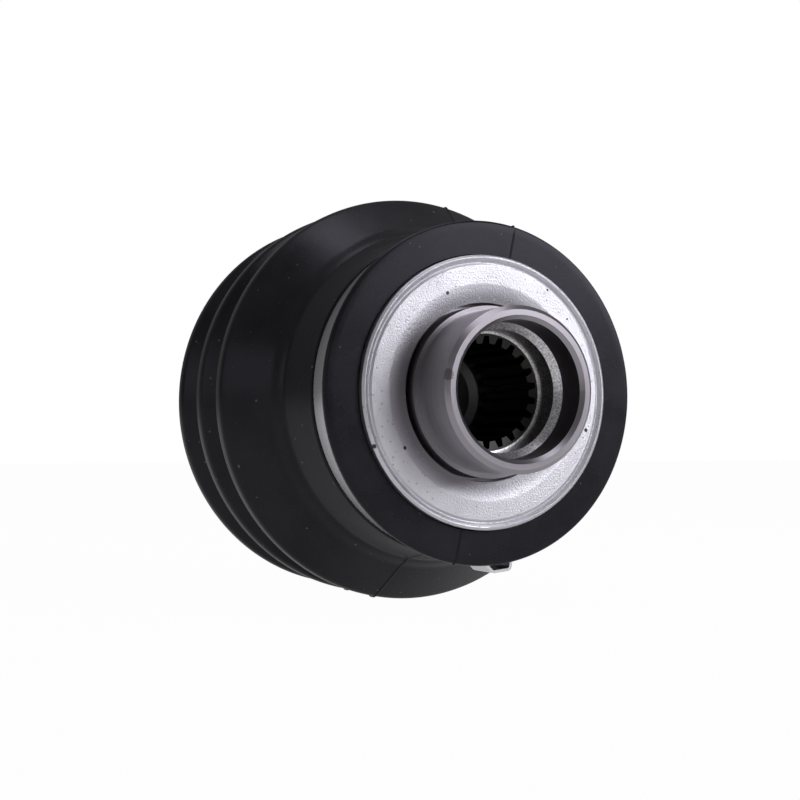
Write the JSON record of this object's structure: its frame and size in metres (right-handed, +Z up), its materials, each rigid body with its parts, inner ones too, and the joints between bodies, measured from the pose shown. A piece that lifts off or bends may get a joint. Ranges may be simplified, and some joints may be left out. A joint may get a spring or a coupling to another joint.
{
  "type": "universal joint yoke",
  "caption": "Universal joint with a splined sleeve yoke, needle-bearing cross, pressed dust shield and a ribbed rubber boot held by band clamps.",
  "frame": {"origin": "centre of the cross, where the two hinge axes meet", "axes": "+Y along the shaft from the front splined sleeve towards the rear sleeve, +Z up, +X to the right seen along +Y"},
  "size_m": [0.093, 0.132, 0.093],
  "materials": {
    "machined_steel": "fine turned, bare",
    "plated_sheet": "satin zinc plate",
    "boot_rubber": "matte moulded",
    "ground_steel": "ground",
    "pressed_steel": "pressed, oiled",
    "clamp_band": "rolled strip",
    "nylon": "moulded",
    "seal_rubber": "matte",
    "spring_steel": "phosphated"
  },
  "bodies": {
    "front_yoke": {"front_yoke": "machined_steel", "dust_shield": "plated_sheet", "boot": "boot_rubber", "front_core_plug": "pressed_steel", "front_clamp": "clamp_band", "right_cup": "ground_steel", "right_rollers": "ground_steel", "right_thrust_washer": "nylon", "right_seal": "seal_rubber", "right_circlip": "spring_steel", "left_cup": "ground_steel", "left_rollers": "ground_steel", "left_thrust_washer": "nylon", "left_seal": "seal_rubber", "left_circlip": "spring_steel"},
    "cross": {"cross": "ground_steel"},
    "rear_yoke": {"rear_yoke": "machined_steel", "rear_core_plug": "pressed_steel", "rear_clamp": "clamp_band", "top_cup": "ground_steel", "top_rollers": "ground_steel", "top_thrust_washer": "nylon", "top_seal": "seal_rubber", "top_circlip": "spring_steel", "bottom_cup": "ground_steel", "bottom_rollers": "ground_steel", "bottom_thrust_washer": "nylon", "bottom_seal": "seal_rubber", "bottom_circlip": "spring_steel"}
  },
  "joints": [
    {"name": "cross_hinge", "type": "hinge", "parent": "front_yoke", "child": "cross", "pos_m": [0, 0, 0], "axis": [1, 0, 0], "range_deg": [-20, 20], "stiffness_Nm_per_rad": 3, "deforming": ["boot"]},
    {"name": "rear_yoke_hinge", "type": "hinge", "parent": "cross", "child": "rear_yoke", "pos_m": [0, 0, 0], "axis": [0, 0, 1], "range_deg": [-20, 20], "stiffness_Nm_per_rad": 3, "deforming": ["boot"]}
  ]
}
